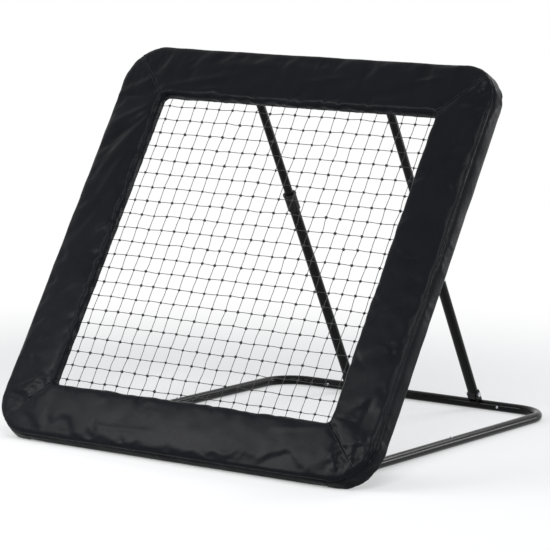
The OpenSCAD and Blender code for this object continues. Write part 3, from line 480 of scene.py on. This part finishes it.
# Seams are drawn in before the cloth swells: the side seam and the four mitres.
full = points.reshape(RINGS, ROUND, 3)
middle = full.mean(1, keepdims=True)
toward = middle - full
toward[..., 2] = 0
toward /= np.maximum(np.linalg.norm(toward, axis=2, keepdims=True), 1e-6)
beside = np.arange(-len(SIDE_STEPS), len(SIDE_STEPS) + 2) % ROUND
groove = np.exp(-((full[:, beside, 2] - SEAM_AT) / SIDE_SEAM_HALF) ** 2)
full[:, beside] += toward[:, beside] * SIDE_SEAM_DEPTH * groove[..., None]
for side in range(4):
    ring_at = side * PER_SIDE
    inward = middle[ring_at] - full[ring_at]
    inward /= np.maximum(np.linalg.norm(inward, axis=1, keepdims=True), 1e-6)
    inward[:, :2] *= MITRE_FLAT
    full[ring_at] += inward * MITRE_DEPTH
points = full.reshape(-1, 3)
quads = [(grid_index[i, j], grid_index[i, (j + 1) % ROUND],
          grid_index[(i + 1) % RINGS, (j + 1) % ROUND], grid_index[(i + 1) % RINGS, j])
         for i in range(RINGS) for j in range(ROUND)]
cloth_mesh = bpy.data.meshes.new("cover_ring")
cloth_mesh.from_pydata(points.tolist(), [], [[int(i) for i in q] for q in quads])
side_of = cloth_mesh.attributes.new("side", "INT", "FACE")
side_of.data.foreach_set("value", np.repeat(np.arange(4), PER_SIDE * ROUND).astype(np.int32))
work = bmesh.new()
work.from_mesh(cloth_mesh)
bmesh.ops.recalc_face_normals(work, faces=work.faces)
work.to_mesh(cloth_mesh)
work.free()
ring_object = bpy.data.objects.new("cover_ring", cloth_mesh)
bpy.context.scene.collection.objects.link(ring_object)
held = ring_object.vertex_groups.new(name="held")
seam_points = set(grid_index[:, 0]) | set(grid_index[:, ROUND // 2])
for side in range(4):
    seam_points |= set(grid_index[side * PER_SIDE])
held.add([int(i) for i in seam_points], 1.0, "REPLACE")

# The cloth swells by a little pressure, and each point's way out, in and along is capped.
SWELL_FRAMES = 20
SWELL_OUT, SWELL_IN, SLIDE = 0.0030, 0.0012, 0.0020
scene = bpy.context.scene
cloth = ring_object.modifiers.new("cloth", "CLOTH")
settings = cloth.settings
settings.quality = 5
settings.mass = 0.3
settings.tension_stiffness = 15
settings.compression_stiffness = 15
settings.shear_stiffness = 5
settings.bending_stiffness = 0.15
settings.use_pressure = True
settings.uniform_pressure_force = 0.35
settings.effector_weights.gravity = 0
settings.vertex_group_mass = "held"
settings.pin_stiffness = 1
settings.shrink_min = -0.025
cloth.collision_settings.use_collision = False
scene.frame_start, scene.frame_end = 1, SWELL_FRAMES
cloth.point_cache.frame_start, cloth.point_cache.frame_end = 1, SWELL_FRAMES
for step in range(1, SWELL_FRAMES + 1):
    scene.frame_set(step)
shape = ring_object.evaluated_get(bpy.context.evaluated_depsgraph_get())
swollen = np.empty(len(points) * 3)
shape.data.vertices.foreach_get("co", swollen)
swollen = swollen.reshape(-1, 3)
ring_object.modifiers.remove(cloth)
moved = swollen - points
normals = np.empty(len(points) * 3)
cloth_mesh.vertices.foreach_get("normal", normals)
normals = normals.reshape(-1, 3)
rise = (moved * normals).sum(1, keepdims=True)
along = moved - rise * normals
limit = np.where(rise > 0, SWELL_OUT, SWELL_IN)
far = np.maximum(np.linalg.norm(along, axis=1, keepdims=True), 1e-9)
points = points + limit * np.tanh(rise / limit) * normals \
    + along * (SLIDE * np.tanh(far / SLIDE) / far)
cloth_mesh.vertices.foreach_set("co", points.ravel())
cloth_mesh.update()

# One level of subdivision, with the seams kept sharp.
crease = cloth_mesh.attributes.new("crease_edge", "FLOAT", "EDGE")
ends = np.empty(len(cloth_mesh.edges) * 2, np.int64)
cloth_mesh.edges.foreach_get("vertices", ends)
ends = ends.reshape(-1, 2)
ring_no, place_no = ends // ROUND, ends % ROUND
on_side_seam = (place_no[:, 0] == 0) & (place_no[:, 1] == 0)
on_mitre = (ring_no[:, 0] == ring_no[:, 1]) & (ring_no[:, 0] % PER_SIDE == 0)
sharpness = np.where(on_side_seam | on_mitre, SEAM_CREASE, 0.0)
crease.data.foreach_set("value", sharpness.astype(np.float32))
finer = ring_object.modifiers.new("finer", "SUBSURF")
finer.levels = finer.render_levels = 1
ring_mesh = bpy.data.meshes.new_from_object(
    ring_object.evaluated_get(bpy.context.evaluated_depsgraph_get()))
bpy.data.objects.remove(ring_object)

# Folds: ridges and hollows of the loose cloth, each from one place to another in the frame's
# plane (metres from its middle), with a half width and a height. Most start at a corner.
FOLDS = (
    ((-0.466, 0.420), (-0.590, 0.350), 0.014, 0.0040),
    ((-0.475, 0.372), (-0.566, 0.230), 0.013, 0.0040),
    ((-0.490, 0.320), (-0.580, 0.180), 0.012, 0.0030),
    ((-0.474, 0.400), (-0.576, 0.290), 0.012, -0.0040),
    ((-0.500, 0.276), (-0.540, 0.110), 0.015, 0.0026),
    ((-0.459, 0.044), (-0.508, 0.005), 0.008, 0.0024),
    ((-0.470, -0.120), (-0.560, -0.200), 0.016, 0.0016),
    ((-0.530, 0.090), (-0.600, -0.040), 0.014, -0.0020),
    ((-0.456, 0.480), (-0.226, 0.530), 0.012, 0.0026),
    ((-0.425, 0.468), (-0.240, 0.486), 0.010, 0.0022),
    ((-0.300, 0.560), (-0.050, 0.580), 0.012, 0.0016),
    ((0.000, 0.521), (0.150, 0.548), 0.010, 0.0018),
    ((0.365, 0.548), (0.452, 0.568), 0.008, 0.0020),
    ((0.200, 0.490), (0.340, 0.505), 0.010, -0.0014),
    ((0.582, 0.546), (0.596, 0.528), 0.014, -0.0028),
    ((0.568, 0.488), (0.588, 0.474), 0.015, -0.0030),
    ((0.556, 0.522), (0.580, 0.584), 0.010, 0.0030),
    ((0.608, 0.500), (0.612, 0.400), 0.008, 0.0018),
    ((0.560, 0.440), (0.552, 0.330), 0.012, -0.0020),
    ((0.500, 0.430), (0.560, 0.350), 0.010, 0.0014),
    ((0.480, 0.060), (0.550, 0.020), 0.009, 0.0010),
    ((0.571, -0.360), (0.552, -0.500), 0.013, -0.0026),
    ((0.604, -0.375), (0.598, -0.520), 0.009, 0.0026),
    ((0.552, -0.500), (0.566, -0.580), 0.009, 0.0022),
    ((0.520, -0.520), (0.600, -0.500), 0.009, 0.0018),
    ((0.540, -0.555), (0.610, -0.530), 0.008, -0.0018),
    ((0.500, -0.545), (0.530, -0.600), 0.008, 0.0016),
    ((-0.500, -0.530), (-0.590, -0.505), 0.012, -0.0014),
    ((-0.430, -0.600), (-0.290, -0.598), 0.008, 0.0010),
    ((-0.280, -0.571), (-0.070, -0.562), 0.009, 0.0010),
    ((0.100, -0.585), (0.260, -0.600), 0.008, 0.0009),
    ((0.300, -0.500), (0.440, -0.480), 0.010, 0.0010))
# Crumpled patches: place, reach and height.
CRUMPLES = (((0.590, -0.580), 0.100, 0.0026), ((0.590, 0.560), 0.090, 0.0018),
            ((-0.575, 0.560), 0.120, 0.0014), ((-0.590, -0.570), 0.080, 0.0008))
FOLD_END = 0.35                        # share of a fold's height that is left at its ends
FOLD_FADE = 0.020                      # height over which folds come in on the front
CRUMPLE_SIZE, CRUMPLE_GAIN = 0.034, 0.8
CRUMPLE_EDGE = 1.3                     # where a patch ends, as a share of its reach
FINER, FINER_SHARE = 2.3, 0.5          # a second, finer crumpling and its share
FOAM_HALF, CLOTH_GAP = 0.022, 0.0012   # half the foam's thickness, and the least space over it
FOAM_INNER, FOAM_OUTER = 0.022, 0.597  # where its flat top starts past the opening, and ends
FOAM_ROUND = 0.011                     # rounding of its long outer edges
FOAM_CORNER = 0.108                    # radius of its corners, which are cut square
WAVE, WAVE_SIZE = 0.0011, 0.045        # slow wander of the whole cloth


def eased(value):
    """0 below 0, 1 above 1 and smooth between."""
    value = np.clip(value, 0.0, 1.0)
    return value * value * (3 - 2 * value)


count = len(ring_mesh.vertices)
places, normals = np.empty(count * 3), np.empty(count * 3)
ring_mesh.vertices.foreach_get("co", places)
ring_mesh.vertices.foreach_get("normal", normals)
places, normals = places.reshape(-1, 3), normals.reshape(-1, 3)
flat = places[:, :2]
on_front = eased(places[:, 2] / FOLD_FADE)
lift = np.zeros(count)
for first, last, wide, high in FOLDS:
    first, last = np.array(first), np.array(last)
    run = last - first
    share = (flat - first) @ run / (run @ run)
    nearest = first + np.clip(share, 0, 1)[:, None] * run
    apart = np.linalg.norm(flat - nearest, axis=1)
    from_end = 0.5 - np.abs(np.clip(share, 0, 1) - 0.5)
    ends_off = FOLD_END + (1 - FOLD_END) * eased(4 * from_end)
    lift += high * np.exp(-(apart / wide) ** 2) * ends_off * on_front
rough = np.array([noise.noise(Vector(p) / CRUMPLE_SIZE)
                  + FINER_SHARE * noise.noise(Vector(p) / CRUMPLE_SIZE * FINER) for p in places])
for spot, reach, high in CRUMPLES:
    near = eased(CRUMPLE_EDGE - np.linalg.norm(flat - spot, axis=1) / reach)
    lift += high * near * (1 - 2 * np.abs(rough)) * CRUMPLE_GAIN
slow = np.array([noise.noise(Vector(p) / WAVE_SIZE) for p in places])
lift += WAVE * slow
places += lift[:, None] * normals
# The cloth can't sink into the foam. Past a corner's square cut it slopes down to its edge.
from_middle = np.abs(places[:, :2])
outermost = from_middle.max(1)
past_corner = np.linalg.norm(np.maximum(from_middle - (FRAME_SIZE / 2 - OUTER_RADIUS), 0), axis=1)
over_edge = np.clip(outermost - FOAM_OUTER, 0, FOAM_ROUND)
foam_top = (FOAM_HALF - FOAM_ROUND + np.sqrt(FOAM_ROUND ** 2 - over_edge ** 2)
            - np.maximum(past_corner - FOAM_CORNER, 0))
over_foam = ((outermost > OPENING_HALF + FOAM_INNER) & (over_edge < FOAM_ROUND)
             & (places[:, 2] > FOAM_HALF / 2))
places[over_foam, 2] = np.maximum(places[over_foam, 2], foam_top[over_foam] + CLOTH_GAP)
ring_mesh.vertices.foreach_set("co", places.ravel())
ring_mesh.update()

# Stitches: two rows of black polyester thread along each mitre, on the front and the back.
STITCH_LENGTH, STITCH_RADIUS = 0.0034, 0.00045
STITCH_PITCH = 0.0052
THREAD_DARK, THREAD_PALE = "#1c1d20", "#34353a"
PLY = BAND_TURN / 900                  # 0.35 mm
STITCH_ASIDE = 0.0035                  # from the mitre to each row
MITRE_FROM, MITRE_TO = 0.008, 0.170    # along the mitre, from the opening's corner
thread, tree, shader = new_material("bonded_polyester_thread")
place = add(tree, "ShaderNodeTexCoord").outputs["Object"]
plies = add(tree, "ShaderNodeTexWave", {"Vector": place, "Scale": BAND_TURN / PLY,
                                      "Distortion": 1.0},
            bands_direction="DIAGONAL")
tint = add(tree, "ShaderNodeMix", {"Factor": plies.outputs["Fac"], 6: linear(THREAD_DARK),
                                   7: linear(THREAD_PALE)}, data_type="RGBA")
relief = add(tree, "ShaderNodeBump", {"Height": plies.outputs["Fac"], "Strength": 0.3,
                                      "Distance": 0.0002})
dress(tree, shader, tint.outputs[2], 0.45, relief)

surface = BVHTree.FromPolygons(places.tolist(), [tuple(p.vertices) for p in ring_mesh.polygons])
spots, turns = [], []
for corner in ((-1, -1, 0), (1, -1, 0), (1, 1, 0), (-1, 1, 0)):
    outward = Vector(corner).normalized()
    aside = Vector((0, 0, 1)).cross(outward)
    for face in (Vector((0, 0, 1)), Vector((0, 0, -1))):
        for row in (-STITCH_ASIDE, STITCH_ASIDE):
            for step in range(int((MITRE_TO - MITRE_FROM) / STITCH_PITCH)):
                above = (Vector(corner) * OPENING_HALF + aside * row + face * PAD_THICK
                         + outward * (MITRE_FROM + STITCH_PITCH * step))
                hit, normal, _, _ = surface.ray_cast(above, -face)
                if hit is None:
                    continue
                lengthwise = (outward - normal * outward.dot(normal)).normalized()
                spots.append(hit)
                turns += Matrix((lengthwise, normal.cross(lengthwise),
                                 normal)).transposed().to_euler()
spot_mesh = bpy.data.meshes.new("stitch_spots")
spot_mesh.from_pydata(spots, [], [])
spot_mesh.attributes.new("turn", "FLOAT_VECTOR", "POINT").data.foreach_set("vector", turns)

tree, given = new_tree("stitch_rows", (("Length", "NodeSocketFloat"),
                                       ("Radius", "NodeSocketFloat")))
bead = add(tree, "GeometryNodeMeshIcoSphere", {"Radius": given.outputs["Radius"],
                                               "Subdivisions": 2})
stretch = add(tree, "ShaderNodeMath", {0: given.outputs["Length"], 1: given.outputs["Radius"]},
              operation="DIVIDE")
stretch = add(tree, "ShaderNodeMath", {0: stretch.outputs[0], 1: 0.5}, operation="MULTIPLY")
sizes = add(tree, "ShaderNodeCombineXYZ", {0: stretch.outputs[0], 1: 1.0, 2: 1.0})
stitch = add(tree, "GeometryNodeTransform", {"Geometry": bead.outputs[0],
                                             "Scale": sizes.outputs[0]})
facing = add(tree, "GeometryNodeInputNamedAttribute", {"Name": "turn"}, data_type="FLOAT_VECTOR")
laid = add(tree, "GeometryNodeInstanceOnPoints", {"Points": given.outputs["Geometry"],
                                                  "Instance": stitch.outputs[0],
                                                  "Rotation": facing.outputs[0]})
laid = add(tree, "GeometryNodeRealizeInstances", {"Geometry": laid.outputs[0]})
coloured = add(tree, "GeometryNodeSetMaterial", {"Geometry": laid.outputs[0],
                                                 "Material": thread})
add(tree, "NodeGroupOutput", {0: coloured.outputs[0]})
stitches = baked("mitre_stitches", tree, thread,
                 {"Length": STITCH_LENGTH, "Radius": STITCH_RADIUS}, "frame", flat=spot_mesh)
for polygon in stitches.data.polygons:
    polygon.use_smooth = True
ring_mesh.transform(FRAME_PLACE)

# Coated oxford cloth: a near-black polyurethane coat over a 0.6 mm weave, satin where it is
# smooth and duller in the creases. The weave is drawn at 2 mm, as coarse as it has to show.
WEAVE, WEAVE_HEIGHT = 0.0020, 0.0003
CREASE_SIZE, CREASE_HEIGHT = 1 / 26, 0.0025
MOTTLE_SIZE = 1 / 9                    # 111 mm
MOTTLE_FROM, MOTTLE_TO = 0.35, 0.65    # where in the noise the cloth is smooth, and dull
CLOTH_DARK, CLOTH_PALE = "#0a0b0f", "#121318"
CLOTH_SMOOTH, CLOTH_DULL = 0.26, 0.36  # roughness of the two
CLOTH_SPECULAR = 0.07
coated, tree, shader = new_material("coated_oxford_cloth")
place = add(tree, "ShaderNodeTexCoord").outputs["Object"]
lay = add(tree, "ShaderNodeMapping", {"Vector": place, "Rotation": (-LEAN, 0.0, 0.0)})
mottle = add(tree, "ShaderNodeTexNoise", {"Vector": lay.outputs[0], "Scale": 1 / MOTTLE_SIZE,
                                          "Detail": 6.0, "Roughness": 0.6})
tint = add(tree, "ShaderNodeMix", {"Factor": mottle.outputs["Fac"], 6: linear(CLOTH_DARK),
                                   7: linear(CLOTH_PALE)}, data_type="RGBA")
gloss = add(tree, "ShaderNodeMapRange", {
    "Value": mottle.outputs["Fac"], "From Min": MOTTLE_FROM, "From Max": MOTTLE_TO,
    "To Min": CLOTH_SMOOTH, "To Max": CLOTH_DULL})
threads = []
for turned in ("X", "Y"):
    threads.append(add(tree, "ShaderNodeTexWave", {
        "Vector": lay.outputs[0], "Scale": BAND_TURN / WEAVE, "Distortion": 0.4, "Detail": 1.0},
        bands_direction=turned))
woven = add(tree, "ShaderNodeMath", {0: threads[0].outputs["Fac"], 1: threads[1].outputs["Fac"]},
            operation="MULTIPLY")
creases = add(tree, "ShaderNodeTexNoise", {"Vector": lay.outputs[0], "Scale": 1 / CREASE_SIZE,
                                           "Detail": 5.0, "Roughness": 0.55, "Distortion": 0.6})
weave_relief = add(tree, "ShaderNodeBump", {"Height": woven.outputs[0], "Strength": 0.18,
                                            "Distance": WEAVE_HEIGHT})
relief = add(tree, "ShaderNodeBump", {"Height": creases.outputs["Fac"], "Strength": 0.3,
                                      "Distance": CREASE_HEIGHT,
                                      "Normal": weave_relief.outputs["Normal"]})
dress(tree, shader, tint.outputs[2], gloss.outputs["Result"], relief)
shader.inputs["Specular IOR Level"].default_value = CLOTH_SPECULAR

# Each side of the ring becomes a closed piece, and none of it sinks below the ground.
covers = {}
for side, name in enumerate(SIDES):
    work = bmesh.new()
    work.from_mesh(ring_mesh)
    layer = work.faces.layers.int["side"]
    others = [f for f in work.faces if f[layer] != side]
    bmesh.ops.delete(work, geom=others, context="FACES")
    for face in work.faces:
        face.smooth = True
    rims = [e for e in work.edges if e.is_boundary]
    ends = bmesh.ops.holes_fill(work, edges=rims, sides=0)
    ends = bmesh.ops.poke(work, faces=ends["faces"])
    for face in ends["faces"]:
        face.smooth = False
        for edge in face.edges:
            edge.smooth = False
    for corner in work.verts:
        corner.co.z = max(corner.co.z, 0.0)
    bmesh.ops.recalc_face_normals(work, faces=work.faces)
    mesh = bpy.data.meshes.new(name + "_padding")
    work.to_mesh(mesh)
    work.free()
    mesh.materials.clear()
    mesh.materials.append(coated)
    piece = bpy.data.objects.new(name + "_padding", mesh)
    bpy.context.scene.collection.objects.link(piece)
    covers[name] = piece

# Slots in the back of the top and bottom sides let the brackets out. Each is a pocket with
# a rounded edge, a little wider than the bolt heads.
SLOT_SPARE = Vector((0.011, 0.006, 0.006))
SLOT_ROUND = 0.004
for name, brackets in (("cover_top", ("top_bracket_left", "top_bracket_right")),
                       ("cover_bottom", ("hinge_bracket_left", "hinge_bracket_right"))):
    for bracket in brackets:
        low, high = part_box(bracket)
        cutter_mesh = bpy.data.meshes.new("slot")
        work = bmesh.new()
        centre, spread = (low + high) / 2, (high - low) / 2 + SLOT_SPARE
        bmesh.ops.create_cube(work, size=2.0, matrix=Matrix.Translation(centre)
                              @ Matrix.Diagonal((*spread, 1.0)))
        bmesh.ops.bevel(work, geom=work.edges[:], offset=SLOT_ROUND, segments=3,
                        affect="EDGES", profile=0.5)
        work.to_mesh(cutter_mesh)
        work.free()
        cutter = bpy.data.objects.new("slot", cutter_mesh)
        bpy.context.scene.collection.objects.link(cutter)
        cut = covers[name].modifiers.new("slot", "BOOLEAN")
        cut.operation, cut.object, cut.solver = "DIFFERENCE", cutter, "EXACT"
        mesh = bpy.data.meshes.new_from_object(
            covers[name].evaluated_get(bpy.context.evaluated_depsgraph_get()))
        covers[name].modifiers.clear()
        covers[name].data = mesh
        bpy.data.objects.remove(cutter)

for name, piece in covers.items():
    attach(piece, "frame")
    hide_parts(name)

# ---------------------------------------------------------------------------------------
# Floor, backdrop and lights: a pale floor that keeps the shadow, and soft boxes.
# ---------------------------------------------------------------------------------------
FLOOR_SIZE, FLOOR_PALE = 90.0, "#f0f0ef"
WHITE = (1.0, 1.0, 1.0, 1.0)
SHADOW_NEAR, SHADOW_FAR = 1.0, 2.6     # the floor fades to plain white between these distances
SHADOW_SHARE = 0.72                    # share of the shadow that shows under the object


def seen_directly(tree):
    """1 for camera, mirror and see-through rays, else 0."""
    path = add(tree, "ShaderNodeLightPath").outputs
    mirror = add(tree, "ShaderNodeMath", {0: path["Is Glossy Ray"], 1: path["Is Transmission Ray"]},
                 operation="MAXIMUM")
    return add(tree, "ShaderNodeMath", {0: path["Is Camera Ray"], 1: mirror.outputs[0]},
               operation="MAXIMUM").outputs[0]


bpy.ops.mesh.primitive_plane_add(size=FLOOR_SIZE)
floor = bpy.context.object
floor.name = "floor"
floor_mat, tree, shader = new_material("pale_floor")
shader.inputs["Base Color"].default_value = linear(FLOOR_PALE)
shader.inputs["Roughness"].default_value = 0.9
shader.inputs["Specular IOR Level"].default_value = 0.0
place = add(tree, "ShaderNodeTexCoord").outputs["Object"]
away = add(tree, "ShaderNodeVectorMath", {0: place}, operation="LENGTH")
plain_share = add(tree, "ShaderNodeMapRange", {
    "Value": away.outputs["Value"], "From Min": SHADOW_NEAR, "From Max": SHADOW_FAR,
    "To Min": 1 - SHADOW_SHARE, "To Max": 1.0}, interpolation_type="SMOOTHSTEP")
share = add(tree, "ShaderNodeMath", {0: plain_share.outputs["Result"], 1: seen_directly(tree)},
            operation="MULTIPLY")
white = add(tree, "ShaderNodeEmission", {"Color": WHITE, "Strength": 1.0})
both = add(tree, "ShaderNodeMixShader", {0: share.outputs[0], 1: shader.outputs[0],
                                         2: white.outputs[0]})
ending = next(n for n in tree.nodes if n.type == "OUTPUT_MATERIAL")
tree.links.new(both.outputs[0], ending.inputs["Surface"])
floor.data.materials.append(floor_mat)

STUDIO_TINT, STUDIO_STRENGTH = (0.82, 0.85, 0.9, 1.0), 0.55
world = bpy.data.worlds.new("studio")
bpy.context.scene.world = world
world.use_nodes = True
tree = world.node_tree
tree.nodes.clear()
plain = add(tree, "ShaderNodeBackground", {"Color": STUDIO_TINT, "Strength": STUDIO_STRENGTH})
white = add(tree, "ShaderNodeBackground", {"Color": WHITE, "Strength": 1.0})
both = add(tree, "ShaderNodeMixShader", {0: seen_directly(tree), 1: plain.outputs[0],
                                         2: white.outputs[0]})
add(tree, "ShaderNodeOutputWorld", {"Surface": both.outputs[0]})

MIDDLE = (0.0, 0.0, 0.45)
BOTTOM_PAD = (0.0, -0.57, 0.06)
# Each soft box: its name, place, width, height, power and what it faces.
LAMPS = (("key", (2.6, -3.6, 4.6), 2.2, 2.2, 110.0, MIDDLE),
         ("low", (-0.78, -1.66, 1.14), 1.4, 0.5, 18.0, BOTTOM_PAD),
         ("side", (4.6, -0.6, 2.2), 1.6, 1.6, 60.0, MIDDLE),
         ("edge", (2.9, 3.4, 0.6), 1.4, 1.0, 28.0, MIDDLE),
         ("rim", (1.5, 4.0, 3.6), 2.0, 2.0, 60.0, MIDDLE))
for name, spot, wide, high, power, target in LAMPS:
    lamp_data = bpy.data.lights.new(name, "AREA")
    lamp_data.shape = "RECTANGLE"
    lamp_data.energy, lamp_data.size, lamp_data.size_y = power, wide, high
    lamp = bpy.data.objects.new(name, lamp_data)
    away = (Vector(spot) - Vector(target)).normalized()
    level = (Vector((1.0, 0.0, 0.0)) - away * away.x).normalized()
    lamp.matrix_world = Matrix.Translation(spot) @ Matrix(
        (level, away.cross(level), away)).transposed().to_4x4()
    bpy.context.scene.collection.objects.link(lamp)

bpy.context.scene.view_settings.view_transform = "Standard"
